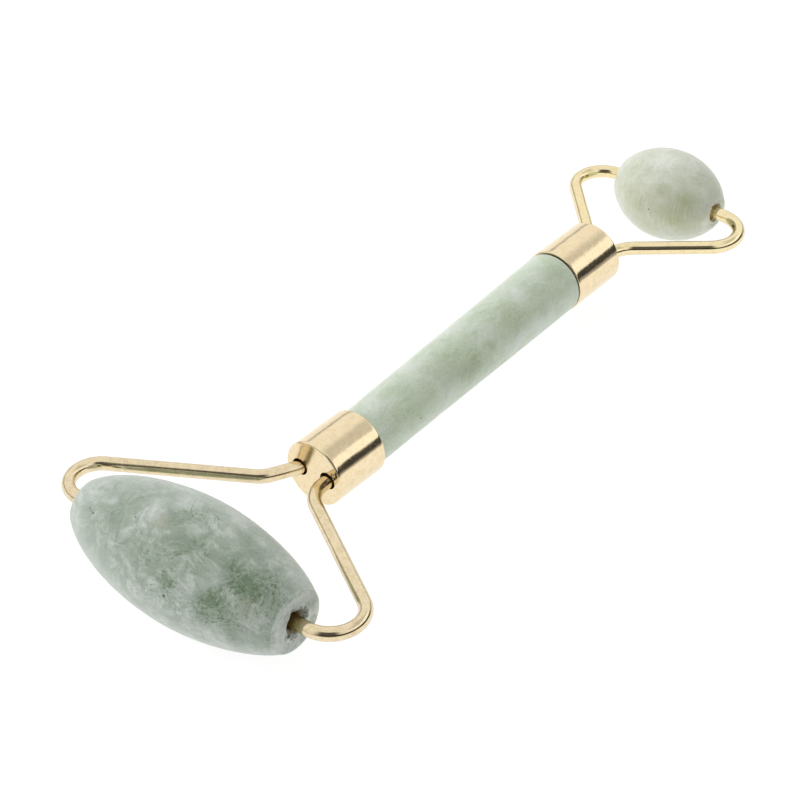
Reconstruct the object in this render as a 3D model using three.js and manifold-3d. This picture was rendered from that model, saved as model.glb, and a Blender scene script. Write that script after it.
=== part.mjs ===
// Double-ended jade face roller: a tapered jade rod with a metal cup cap on each
// end, a bent wire frame in each cap, and a drilled jade roller spinning on the
// inturned ends of each frame.
//
// Millimetres, +Z up. The roller lies on a table: both rollers touch z = 0.
// +Y runs from the large roller to the small one, and both rollers turn about X.
// The origin is on the table, under the middle of the bounding box.

import * as THREE from 'three';
import { mergeVertices } from 'three/addons/utils/BufferGeometryUtils.js';
import Module from 'manifold-3d';

// ---------------------------------------------------------------- dimensions

// Jade rod
const ROD_LENGTH = 54.1;          // between the two cap mouths
const ROD_R_LARGE_END = 4.91;     // radius at the large roller's cap
const ROD_R_SMALL_END = 5.55;     // radius at the small roller's cap
const ROD_MOUTH_Y = -24.71;       // where the rod leaves the large roller's cap
const ROD_Z_LARGE_END = 9.26;     // height of the rod's axis at each cap mouth
const ROD_Z_SMALL_END = 8.97;
const TENON_R_LARGE_END = 4.35;   // turned-down ends glued inside the caps
const TENON_R_SMALL_END = 4.6;
const TENON_LENGTH = 5.1;
const ROD_LEAD_IN = 0.9;          // full-size length inside the large cap

// Caps: drawn cups, closed end outwards
const CAP_R = 5.67;
const CAP_WALL = 0.45;
const CAP_FACE = 0.6;             // thickness of the closed end
const CAP_EDGE_R = 0.36;          // rounding of the closed end's edge
const CAP_LIP_R = 0.14;           // rounding of the open end's lip
const CAP_LENGTH_LARGE = 10.66;
const CAP_LENGTH_SMALL = 11.69;
const WIRE_HOLE_R = 1.45;         // two holes in each closed end
const LARGE_END_X = 0.31;         // the small end's cap sits slightly to one side
const SMALL_END_X = -1.54;
const SMALL_YAW_DEG = 0.95;       // and is turned slightly in plan
const TILT_LARGE_DEG = 1.42;      // slope of each cap and frame to the table
const TILT_SMALL_DEG = 1.325;

// Wire frames
const WIRE_R = 1.15;
const LEG_X = 2.83;               // the legs leave the cap this far off its axis
const U_STRAIGHT = 1.2;           // straight leg behind the cap's outer face
const LARGE_AXLE = 27.3;         // cap face to roller axis
const SMALL_AXLE = 23.67;
// Per arm: height and radius of the first bend, then the point where the arm
// would meet the axle line, the radius of the return bend and the tip. One arm
// leans outward as soon as it leaves its hole: "elbow" is where its first bend
// sits and "lean" the radius of the slight bend at the hole.
const LARGE_ARMS = [
  { elbow: [5.6, 5.5], lean: 2.5, bend: 5.0, reach: 41.0, turn: 4.65, tip: 14.6 },   // -X arm
  { h: 4.05, bend: 5.4, reach: 41.3, turn: 5.2, tip: 13.4 },                         // +X arm
];
const SMALL_ARMS = [
  { h: 3.03, bend: 3.3, reach: 22.83, turn: 5.13, tip: 4.6 },
  { h: 3.54, bend: 5.6, reach: 27.6, turn: 5.62, tip: 5.0 },
];

// Rollers: fat spindles cut flat at both ends and drilled through.
// radius(x) = b * (1 - |x/a|^p)^(1/q)
const LARGE_ROLLER = {
  a: 24.49, b: 10.2, p: 1.862, q: 1.9,
  left: 21.96, right: 20.65, edge: 0.55, bore: 1.6, mouth: 2.2, sink: 0.9, spans: 22,
};
const SMALL_ROLLER = {
  a: 10.98, b: 8.152, p: 1.993, q: 1.741,
  left: 9.43, right: 10.01, edge: 0.45, bore: 1.5, mouth: 1.8, sink: 0.5, spans: 18,
};

const GLUE_GAP = 0.2;             // clearance kept round the glue plugs

// ------------------------------------------------------------------ helpers

const wasm = await Module();
wasm.setup();

// Shared vertices merged and collapsed triangles dropped, position only.
function welded(geometry) {
  let g = geometry.clone();
  for (const name of Object.keys(g.attributes)) {
    if (name !== 'position') g.deleteAttribute(name);
  }
  g = mergeVertices(g, 1e-4);
  const src = g.index.array;
  const kept = [];
  for (let i = 0; i < src.length; i += 3) {
    const [a, b, c] = [src[i], src[i + 1], src[i + 2]];
    if (a !== b && b !== c && a !== c) kept.push(a, b, c);
  }
  g.setIndex(kept);
  return g;
}

function volumeOf(g) {
  const p = g.attributes.position, ix = g.index.array;
  const a = new THREE.Vector3(), b = new THREE.Vector3(), c = new THREE.Vector3();
  let v = 0;
  for (let i = 0; i < ix.length; i += 3) {
    a.fromBufferAttribute(p, ix[i]);
    b.fromBufferAttribute(p, ix[i + 1]);
    c.fromBufferAttribute(p, ix[i + 2]);
    v += a.dot(b.cross(c)) / 6;
  }
  return v;
}

function facingOut(g) {
  if (volumeOf(g) >= 0) return g;
  const ix = g.index.array;
  const flipped = [];
  for (let i = 0; i < ix.length; i += 3) flipped.push(ix[i], ix[i + 2], ix[i + 1]);
  g.setIndex(flipped);
  return g;
}

function solidOf(geometry) {
  const g = facingOut(welded(geometry));
  return new wasm.Manifold(new wasm.Mesh({
    numProp: 3,
    vertProperties: new Float32Array(g.attributes.position.array),
    triVerts: new Uint32Array(g.index.array),
  }));
}

function geometryOf(solid) {
  const m = solid.getMesh();
  const g = new THREE.BufferGeometry();
  const xyz = new Float32Array(m.numVert * 3);
  for (let i = 0; i < m.numVert; i++) {
    for (let k = 0; k < 3; k++) xyz[3 * i + k] = m.vertProperties[m.numProp * i + k];
  }
  g.setAttribute('position', new THREE.BufferAttribute(xyz, 3));
  g.setIndex(Array.from(m.triVerts));
  g.computeVertexNormals();
  return g;
}

// Turned about local Y. The outline is [radius, y] pairs.
function turned(outline, sides) {
  return new THREE.LatheGeometry(outline.map(([r, y]) => new THREE.Vector2(r, y)), sides);
}

// Points of a quarter round from one [r, y] to the next, centred at c.
function quarter(c, radius, from, to, n) {
  const out = [];
  for (let i = 0; i <= n; i++) {
    const t = THREE.MathUtils.degToRad(from + (to - from) * i / n);
    out.push([c[0] + radius * Math.cos(t), c[1] + radius * Math.sin(t)]);
  }
  return out;
}

// A wire's centre line: straight runs joined by round bends, walked at an even pace.
class BentLine extends THREE.Curve {
  constructor(corners, radii) {
    super();
    this.runs = [];
    let from = corners[0];
    for (let i = 1; i < corners.length - 1; i++) {
      const b = corners[i];
      const u = corners[i - 1].clone().sub(b).normalize();
      const v = corners[i + 1].clone().sub(b).normalize();
      const half = u.angleTo(v) / 2;
      const r = radii[i - 1];
      const start = b.clone().addScaledVector(u, r / Math.tan(half));
      const end = b.clone().addScaledVector(v, r / Math.tan(half));
      const centre = b.clone().addScaledVector(u.clone().add(v).normalize(), r / Math.sin(half));
      this.addRun(from, start);
      this.runs.push({ centre, start, end, r, sweep: Math.PI - 2 * half, length: r * (Math.PI - 2 * half) });
      from = end;
    }
    this.addRun(from, corners[corners.length - 1]);
    this.total = this.runs.reduce((s, k) => s + k.length, 0);
  }

  addRun(a, b) {
    this.runs.push({ start: a.clone(), end: b.clone(), length: a.distanceTo(b) });
  }

  getPoint(t, target = new THREE.Vector3()) {
    let s = THREE.MathUtils.clamp(t, 0, 1) * this.total;
    let k = 0;
    while (k < this.runs.length - 1 && s > this.runs[k].length) s -= this.runs[k++].length;
    const run = this.runs[k];
    if (!run.centre) return target.copy(run.start).lerp(run.end, Math.min(1, s / run.length));
    const f = Math.min(1, s / run.length) * run.sweep;
    const e0 = run.start.clone().sub(run.centre);
    const e1 = run.end.clone().sub(run.centre);
    const w0 = Math.sin(run.sweep - f) / Math.sin(run.sweep);
    const w1 = Math.sin(f) / Math.sin(run.sweep);
    return target.copy(run.centre).addScaledVector(e0, w0).addScaledVector(e1, w1);
  }
}

function roundBar(path, radius, sides, step) {
  const ring = [];
  for (let i = 0; i < sides; i++) {
    const t = 2 * Math.PI * (i + 0.5) / sides;
    ring.push(new THREE.Vector2(radius * Math.cos(t), radius * Math.sin(t)));
  }
  return new THREE.ExtrudeGeometry(new THREE.Shape(ring), {
    steps: Math.max(2, Math.round(path.total / step)), extrudePath: path, bevelEnabled: false,
  });
}

// ------------------------------------------------------------------- pieces
// Each end is built about its own cap: local +Y leaves the cap's closed end,
// y = 0 is that end's outer face, and the frame lies in the local XY plane.

function capOutline(length) {
  const r = CAP_R, ri = CAP_R - CAP_WALL, open = -length;
  return [
    [0, 0],
    ...quarter([r - CAP_EDGE_R, -CAP_EDGE_R], CAP_EDGE_R, 90, 0, 4),
    ...quarter([r - CAP_LIP_R, open + CAP_LIP_R], CAP_LIP_R, 0, -90, 2),
    ...quarter([ri + CAP_LIP_R, open + CAP_LIP_R], CAP_LIP_R, -90, -180, 2),
    ...quarter([ri - 0.3, -CAP_FACE - 0.3], 0.3, 0, 90, 2),
    [0, -CAP_FACE],
  ];
}

function makeCap(length) {
  let cup = solidOf(turned(capOutline(length), 48));
  const drill = turned([[0, -2], [WIRE_HOLE_R, -2], [WIRE_HOLE_R, 1], [0, 1]], 20);
  for (const x of [-LEG_X, LEG_X]) {
    cup = cup.subtract(solidOf(drill.clone().translate(x, 0, 0)));
  }
  return cup;
}

// Tip, axle line, return bend, arm, first bend, leg, then the U hidden in the cap.
function framePath(arms, axle) {
  const V = (x, y) => new THREE.Vector3(x, y, 0);
  const [l, r] = arms;
  const bottom = -U_STRAIGHT - LEG_X;
  const bends = (a, s) => a.lean
    ? [[V(s * a.elbow[0], a.elbow[1]), a.bend], [V(s * LEG_X, 0), a.lean]]
    : [[V(s * LEG_X, a.h), a.bend]];
  const left = bends(l, -1), right = bends(r, 1).reverse();
  return new BentLine(
    [V(-l.tip, axle), V(-l.reach, axle), ...left.map((b) => b[0]), V(-LEG_X, bottom),
      V(LEG_X, bottom), ...right.map((b) => b[0]), V(r.reach, axle), V(r.tip, axle)],
    [l.turn, ...left.map((b) => b[1]), LEG_X - 0.001, LEG_X - 0.001, ...right.map((b) => b[1]), r.turn],
  );
}

function rollerOutline(k) {
  const radius = (x) => k.b * Math.pow(Math.max(0, 1 - Math.pow(Math.abs(x) / k.a, k.p)), 1 / k.q);
  const out = [];
  const n = k.spans;
  // bore, from the -X mouth to the +X mouth
  out.push([k.mouth, -k.left], [k.bore, -k.left + k.sink], [k.bore, k.right - k.sink], [k.mouth, k.right]);
  // flat end, softened edge, then the body back to the other end
  const rr = radius(k.right), rl = radius(-k.left);
  out.push([rr - k.edge, k.right], [rr - 0.25 * k.edge, k.right - 0.12 * k.edge]);
  const x0 = k.right - 0.6 * k.edge, x1 = -(k.left - 0.6 * k.edge);
  for (let i = 0; i <= n; i++) {
    const t = Math.PI * i / n;
    const mid = (x0 + x1) / 2, half = (x0 - x1) / 2;
    const x = mid + half * Math.cos(t);
    out.push([radius(x), x]);
  }
  out.push([rl - 0.25 * k.edge, -k.left + 0.12 * k.edge], [rl - k.edge, -k.left]);
  out.push([k.mouth, -k.left]);
  return out;
}

function makeRoller(k, sides) {
  // turned about Y, then laid along X
  const g = turned(rollerOutline(k), sides);
  g.rotateZ(-Math.PI / 2);
  return g;
}

// The rod is turned about its own axis: y = 0 at the large cap's mouth.
const rodSlope = (ROD_R_SMALL_END - ROD_R_LARGE_END) / ROD_LENGTH;
const rodOutline = [
  [0, -TENON_LENGTH],
  [TENON_R_LARGE_END - 0.3, -TENON_LENGTH],
  [TENON_R_LARGE_END, -TENON_LENGTH + 0.3],
  [TENON_R_LARGE_END, -ROD_LEAD_IN - 0.5],
  [ROD_R_LARGE_END - 0.05, -ROD_LEAD_IN],
  [ROD_R_LARGE_END, 0],
  [ROD_R_LARGE_END + rodSlope * 14, 14],
  [ROD_R_LARGE_END + rodSlope * 28, 28],
  [ROD_R_LARGE_END + rodSlope * 42, 42],
  [ROD_R_SMALL_END, ROD_LENGTH - 0.55],
  [ROD_R_SMALL_END - 0.09, ROD_LENGTH - 0.24],
  [ROD_R_SMALL_END - 0.3, ROD_LENGTH - 0.15],
  [TENON_R_SMALL_END, ROD_LENGTH - 0.15],
  [TENON_R_SMALL_END, ROD_LENGTH + TENON_LENGTH - 0.3],
  [TENON_R_SMALL_END - 0.3, ROD_LENGTH + TENON_LENGTH],
  [0, ROD_LENGTH + TENON_LENGTH],
];

// ------------------------------------------------------------------ assembly

const roller = new THREE.Group();
roller.name = 'jade_face_roller';

const largeTilt = THREE.MathUtils.degToRad(TILT_LARGE_DEG);
const smallTilt = THREE.MathUtils.degToRad(TILT_SMALL_DEG);
const rodEndY = ROD_MOUTH_Y + Math.sqrt(
  ROD_LENGTH ** 2 - (SMALL_END_X - LARGE_END_X) ** 2 - (ROD_Z_SMALL_END - ROD_Z_LARGE_END) ** 2);

// Large end: local +Y points to world -Y and slightly up.
const largeEnd = new THREE.Group();
largeEnd.quaternion.setFromRotationMatrix(new THREE.Matrix4().makeBasis(
  new THREE.Vector3(-1, 0, 0),
  new THREE.Vector3(0, -Math.cos(largeTilt), Math.sin(largeTilt)),
  new THREE.Vector3(0, Math.sin(largeTilt), Math.cos(largeTilt)),
));
largeEnd.position.set(
  LARGE_END_X,
  ROD_MOUTH_Y - CAP_LENGTH_LARGE * Math.cos(largeTilt),
  ROD_Z_LARGE_END + CAP_LENGTH_LARGE * Math.sin(largeTilt),
);

// Small end: local +Y points to world +Y and slightly down.
const smallEnd = new THREE.Group();
smallEnd.rotation.set(-smallTilt, 0, THREE.MathUtils.degToRad(SMALL_YAW_DEG), 'ZXY');
smallEnd.position.set(SMALL_END_X, rodEndY, ROD_Z_SMALL_END)
  .add(new THREE.Vector3(0, CAP_LENGTH_SMALL, 0).applyEuler(smallEnd.rotation));

// Rod: from one cap mouth to the other, so it crosses at a slight angle.
const rodGroup = new THREE.Group();
rodGroup.position.set(LARGE_END_X, ROD_MOUTH_Y, ROD_Z_LARGE_END);
rodGroup.quaternion.setFromUnitVectors(
  new THREE.Vector3(0, 1, 0),
  new THREE.Vector3(
    SMALL_END_X - LARGE_END_X, rodEndY - ROD_MOUTH_Y, ROD_Z_SMALL_END - ROD_Z_LARGE_END).normalize(),
);

roller.add(rodGroup, largeEnd, smallEnd);
roller.updateMatrixWorld(true);

const jade = (color, roughness) => new THREE.MeshStandardMaterial({ color, roughness, metalness: 0 });
const gold = () => new THREE.MeshStandardMaterial({ color: 0xe3c18d, roughness: 0.22, metalness: 1 });
const epoxy = () => new THREE.MeshStandardMaterial({ color: 0xd9cfa8, roughness: 0.4, metalness: 0 });

function piece(name, geometry, material, parent) {
  const mesh = new THREE.Mesh(geometry, material);
  mesh.name = name;
  parent.add(mesh);
  return mesh;
}

// Jade handle
piece('handle_stone', geometryOf(solidOf(turned(rodOutline, 48))), jade(0xbccbb5, 0.3), rodGroup);

// Both ends. The -X arm is the left one seen from above with +Y up the page,
// so the large end, which is turned half round, takes its arms the other way.
const ends = [
  {
    prefix: 'large', group: largeEnd, length: CAP_LENGTH_LARGE, axle: LARGE_AXLE,
    arms: [LARGE_ARMS[1], LARGE_ARMS[0]], tenon: TENON_R_LARGE_END, mouth: ROD_R_LARGE_END,
    rodStart: -TENON_LENGTH, rodSign: 1,
  },
  {
    prefix: 'small', group: smallEnd, length: CAP_LENGTH_SMALL, axle: SMALL_AXLE,
    arms: SMALL_ARMS, tenon: TENON_R_SMALL_END, mouth: TENON_R_SMALL_END,
    rodStart: ROD_LENGTH + TENON_LENGTH, rodSign: -1,
  },
];

for (const end of ends) {
  piece(`${end.prefix}_cap`, geometryOf(makeCap(end.length)), gold(), end.group);

  const path = framePath(end.arms, end.axle);
  piece(`${end.prefix}_frame_wire`, geometryOf(solidOf(roundBar(path, WIRE_R, 14, 1.45))), gold(), end.group);

  // Glue plug: fills the closed end of the cap, round the wire's U and the rod's tenon.
  const ri = CAP_R - CAP_WALL - GLUE_GAP;
  const top = -CAP_FACE - GLUE_GAP;
  const bottom = -end.length + (end.prefix === 'large' ? ROD_LEAD_IN + 1.1 : 0.6);
  let plug = solidOf(turned([[0, bottom], [ri, bottom], [ri, top - 0.4], [ri - 0.4, top], [0, top]], 40));
  plug = plug.subtract(solidOf(roundBar(path, WIRE_R + GLUE_GAP, 12, 1.45)));
  const toEnd = new THREE.Matrix4().copy(end.group.matrixWorld).invert().multiply(rodGroup.matrixWorld);
  const r = end.tenon + GLUE_GAP;
  const y0 = end.rodStart - end.rodSign * GLUE_GAP;
  const y1 = end.rodStart + end.rodSign * 14;
  const pocket = turned([[0, y0], [r, y0], [r, y1], [0, y1]], 40);
  pocket.applyMatrix4(toEnd);
  plug = plug.subtract(solidOf(pocket));
  piece(`${end.prefix}_cap_adhesive`, geometryOf(plug), epoxy(), end.group);
}

// Rollers, each on its frame's axle line; both axes are level
function onAxle(end, axle) {
  return new THREE.Vector3(0, axle, 0).applyMatrix4(end.matrixWorld);
}
const largeRoller = piece('large_roller_stone',
  geometryOf(solidOf(makeRoller(LARGE_ROLLER, 48))), jade(0xb9c5b7, 0.33), roller);
largeRoller.position.copy(onAxle(largeEnd, LARGE_AXLE));
const smallRoller = piece('small_roller_stone',
  geometryOf(solidOf(makeRoller(SMALL_ROLLER, 40))), jade(0xced4c4, 0.33), roller);
smallRoller.position.copy(onAxle(smallEnd, SMALL_AXLE));
smallRoller.rotation.z = THREE.MathUtils.degToRad(SMALL_YAW_DEG);

export default roller;
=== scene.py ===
import math

import bpy
import numpy as np
from mathutils import Matrix, Vector, noise
from mathutils.geometry import delaunay_2d_cdt


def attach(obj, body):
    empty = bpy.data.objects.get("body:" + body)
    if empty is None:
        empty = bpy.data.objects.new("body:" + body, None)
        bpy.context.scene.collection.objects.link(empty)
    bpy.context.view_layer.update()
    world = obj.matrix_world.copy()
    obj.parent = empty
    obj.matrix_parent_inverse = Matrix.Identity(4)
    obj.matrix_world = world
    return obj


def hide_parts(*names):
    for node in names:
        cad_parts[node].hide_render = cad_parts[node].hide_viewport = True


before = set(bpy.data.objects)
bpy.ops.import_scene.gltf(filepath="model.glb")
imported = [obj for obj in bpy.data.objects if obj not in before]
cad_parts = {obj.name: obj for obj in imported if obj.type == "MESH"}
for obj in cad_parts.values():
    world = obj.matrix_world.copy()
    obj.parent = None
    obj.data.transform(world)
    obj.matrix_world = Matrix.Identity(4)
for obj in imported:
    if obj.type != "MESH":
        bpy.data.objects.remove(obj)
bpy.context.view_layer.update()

# Double-ended jade face roller. The pieces are built in millimetres, each in a
# local frame of its own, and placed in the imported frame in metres.
MM = 0.001
TAU = 2.0 * math.pi

# ------------------------------------------------------------------ dimensions
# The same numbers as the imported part, in millimetres.
ROD_LENGTH, ROD_R_LARGE, ROD_R_SMALL = 54.1, 4.91, 5.55
ROD_MOUTH_Y, ROD_Z_LARGE, ROD_Z_SMALL = -24.71, 9.26, 8.97
TENON_LARGE, TENON_SMALL, TENON_LENGTH, LEAD_IN = 4.35, 4.6, 5.1, 0.9
CAP_R, CAP_WALL, CAP_FACE, CAP_EDGE, CAP_LIP = 5.67, 0.45, 0.6, 0.36, 0.14
CAP_LENGTH_LARGE, CAP_LENGTH_SMALL, HOLE_R, LEG_X = 10.66, 11.69, 1.45, 2.83
LARGE_X, SMALL_X = 0.31, -1.54
SMALL_YAW, TILT_LARGE, TILT_SMALL = map(math.radians, (0.95, 1.42, 1.325))
WIRE_R, U_STRAIGHT, LARGE_AXLE, SMALL_AXLE = 1.15, 1.2, 27.3, 23.67
LARGE_ARMS = [dict(elbow=(5.6, 5.5), lean=2.5, bend=5.0, reach=41.0, turn=4.65, tip=14.6),
              dict(h=4.05, bend=5.4, reach=41.3, turn=5.2, tip=13.4)]
SMALL_ARMS = [dict(h=3.03, bend=3.3, reach=22.83, turn=5.13, tip=4.6),
              dict(h=3.54, bend=5.6, reach=27.6, turn=5.62, tip=5.0)]
LARGE_ROLLER = dict(a=24.49, b=10.2, p=1.862, q=1.9, left=21.96, right=20.65,
                    edge=0.55, bore=1.6, mouth=2.2, sink=0.9)
SMALL_ROLLER = dict(a=10.98, b=8.152, p=1.993, q=1.741, left=9.43, right=10.01,
                    edge=0.45, bore=1.5, mouth=1.8, sink=0.5)


def basis(x, y, z, at):
    """A local frame: millimetre axes and origin to a matrix in metres."""
    m = Matrix.Identity(4)
    for i, v in enumerate((x, y, z)):
        for k in range(3):
            m[k][i] = v[k]
    m.translation = Vector(at) * MM
    return m


ct, st = math.cos(TILT_LARGE), math.sin(TILT_LARGE)
AT_LARGE = basis((-1, 0, 0), (0, -ct, st), (0, st, ct),
                 (LARGE_X, ROD_MOUTH_Y - CAP_LENGTH_LARGE * ct, ROD_Z_LARGE + CAP_LENGTH_LARGE * st))
rod_dx, rod_dz = SMALL_X - LARGE_X, ROD_Z_SMALL - ROD_Z_LARGE
ROD_END_Y = ROD_MOUTH_Y + math.sqrt(ROD_LENGTH ** 2 - rod_dx ** 2 - rod_dz ** 2)
_r = Matrix.Rotation(SMALL_YAW, 3, "Z") @ Matrix.Rotation(-TILT_SMALL, 3, "X")
_o = Vector((SMALL_X, ROD_END_Y, ROD_Z_SMALL)) + _r @ Vector((0, CAP_LENGTH_SMALL, 0))
AT_SMALL = basis(_r.col[0], _r.col[1], _r.col[2], _o)
_y = Vector((rod_dx, ROD_END_Y - ROD_MOUTH_Y, rod_dz)).normalized()
_x = _y.cross(Vector((0, 0, 1))).normalized()
AT_ROD = basis(_x, _y, _x.cross(_y), (LARGE_X, ROD_MOUTH_Y, ROD_Z_LARGE))
_c = AT_LARGE @ (Vector((0, LARGE_AXLE, 0)) * MM)
AT_LARGE_ROLLER = Matrix.Translation(_c)
_c = AT_SMALL @ (Vector((0, SMALL_AXLE, 0)) * MM)
AT_SMALL_ROLLER = Matrix.Translation(_c) @ Matrix.Rotation(SMALL_YAW, 4, "Z")


# ------------------------------------------------------------------ mesh tools
def make_piece(name, verts, faces, place, material):
    """A smooth-shaded mesh object. verts are local millimetres."""
    mesh = bpy.data.meshes.new(name)
    mesh.from_pydata([tuple(float(c) * MM for c in v) for v in verts], [], faces)
    mesh.validate()
    mesh.polygons.foreach_set("use_smooth", [True] * len(mesh.polygons))
    mesh.update()
    obj = bpy.data.objects.new(name, mesh)
    bpy.context.scene.collection.objects.link(obj)
    obj.matrix_world = place
    mesh.materials.append(material)
    return obj


def wob(x, y, z, scale, seed=0.0):
    """Smooth noise from about -1 to 1."""
    return noise.noise(Vector((x * scale + seed, y * scale - seed * 0.7, z * scale + seed * 1.3)))


def lathe(profile, sides, axis="Y", closed=False, shift=None):
    """Turns [radius, height] points about an axis. Radius 0 only at the ends."""
    verts, rings, faces = [], [], []
    for r, h in profile:
        if r < 1e-6:
            rings.append([len(verts)])
            verts.append((0, h, 0) if axis == "Y" else (h, 0, 0))
            continue
        ring = []
        for i in range(sides):
            a = TAU * i / sides
            c, s = math.cos(a), math.sin(a)
            rr, hh = r, h
            if shift:
                dr, dh = shift(r, h, a)
                rr, hh = r + dr, h + dh
            ring.append(len(verts))
            verts.append((rr * c, hh, rr * s) if axis == "Y" else (hh, rr * c, rr * s))
        rings.append(ring)
    n = len(rings)
    for k in range(n if closed else n - 1):
        a, b = rings[k], rings[(k + 1) % n]
        for i in range(sides):
            j = (i + 1) % sides
            if len(a) == 1:
                faces.append((a[0], b[j], b[i]))
            elif len(b) == 1:
                faces.append((a[i], a[j], b[0]))
            else:
                faces.append((a[i], a[j], b[j], b[i]))
    return verts, faces, rings


def arc(c, radius, a0, a1, n):
    out = []
    for i in range(n + 1):
        t = math.radians(a0 + (a1 - a0) * i / n)
        out.append((c[0] + radius * math.cos(t), c[1] + radius * math.sin(t)))
    return out


def fix_normals(obj):
    import bmesh
    bm = bmesh.new()
    bm.from_mesh(obj.data)
    bmesh.ops.recalc_face_normals(bm, faces=bm.faces)
    bm.to_mesh(obj.data)
    bm.free()
    obj.data.update()


# ------------------------------------------------------------------ node tools
class Nodes:
    """A short way to write a material's or the world's nodes."""

    def __init__(self, tree):
        self.t = tree
        self.t.nodes.clear()

    def add(self, kind, **props):
        node = self.t.nodes.new(kind)
        for k, v in props.items():
            setattr(node, k, v)
        return node

    def put(self, socket, value):
        if isinstance(value, bpy.types.NodeSocket):
            self.t.links.new(value, socket)
        elif value is not None:
            if socket.type == "RGBA" and len(value) == 3:
                value = (*value, 1.0)
            socket.default_value = value

    def math(self, op, a, b=None, c=None, clamp=False):
        n = self.add("ShaderNodeMath", operation=op, use_clamp=clamp)
        for s, v in zip(n.inputs, (a, b, c)):
            self.put(s, v)
        return n.outputs[0]

    def vec(self, op, a, b=None, scale=None):
        n = self.add("ShaderNodeVectorMath", operation=op)
        self.put(n.inputs[0], a)
        if b is not None:
            self.put(n.inputs[1], b)
        if scale is not None:
            self.put(n.inputs["Scale"], scale)
        return n.outputs["Value"] if op in ("LENGTH", "DISTANCE", "DOT_PRODUCT") else n.outputs["Vector"]

    def noise(self, at, scale, detail=3.0, rough=0.5, distortion=0.0, lac=2.0, colour=False):
        n = self.add("ShaderNodeTexNoise", noise_dimensions="3D")
        self.put(n.inputs["Vector"], at)
        n.inputs["Scale"].default_value = scale
        n.inputs["Detail"].default_value = detail
        n.inputs["Roughness"].default_value = rough
        n.inputs["Lacunarity"].default_value = lac
        n.inputs["Distortion"].default_value = distortion
        return n.outputs["Color"] if colour else n.outputs[0]

    def cells(self, at, scale, feature="F1", randomness=1.0, out="Distance"):
        n = self.add("ShaderNodeTexVoronoi", feature=feature)
        self.put(n.inputs["Vector"], at)
        n.inputs["Scale"].default_value = scale
        n.inputs["Randomness"].default_value = randomness
        return n.outputs[out]

    def step(self, v, a, b, lo=0.0, hi=1.0, smooth=True):
        n = self.add("ShaderNodeMapRange", interpolation_type="SMOOTHSTEP" if smooth else "LINEAR", clamp=True)
        self.put(n.inputs["Value"], v)
        for k, x in zip(("From Min", "From Max", "To Min", "To Max"), (a, b, lo, hi)):
            n.inputs[k].default_value = x
        return n.outputs[0]

    def ramp(self, v, stops, mode="LINEAR"):
        n = self.add("ShaderNodeValToRGB")
        self.put(n.inputs[0], v)
        cr = n.color_ramp
        cr.interpolation = mode
        while len(cr.elements) < len(stops):
            cr.elements.new(0.5)
        for e, (p, c) in zip(cr.elements, stops):
            e.position = p
            e.color = (*c, 1.0) if len(c) == 3 else c
        return n.outputs["Color"]

    def mix(self, fac, a, b, blend="MIX"):
        n = self.add("ShaderNodeMix", data_type="RGBA", blend_type=blend, clamp_factor=True)
        self.put(n.inputs["Factor"], fac)
        self.put(n.inputs["A"] if False else n.inputs[6], a)
        self.put(n.inputs[7], b)
        return n.outputs[2]

    def bump(self, height, strength, distance, normal=None):
        n = self.add("ShaderNodeBump")
        n.inputs["Strength"].default_value = strength
        n.inputs["Distance"].default_value = distance
        self.put(n.inputs["Height"], height)
        if normal is not None:
            self.put(n.inputs["Normal"], normal)
        return n.outputs["Normal"]

    def local_mm(self):
        tc = self.add("ShaderNodeTexCoord")
        return self.vec("SCALE", tc.outputs["Object"], scale=1000.0)


def new_material(name):
    m = bpy.data.materials.new(name)
    m.use_nodes = True
    n = Nodes(m.node_tree)
    out = n.add("ShaderNodeOutputMaterial")
    bsdf = n.add("ShaderNodeBsdfPrincipled")
    n.t.links.new(bsdf.outputs[0], out.inputs["Surface"])
    return m, n, bsdf


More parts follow.
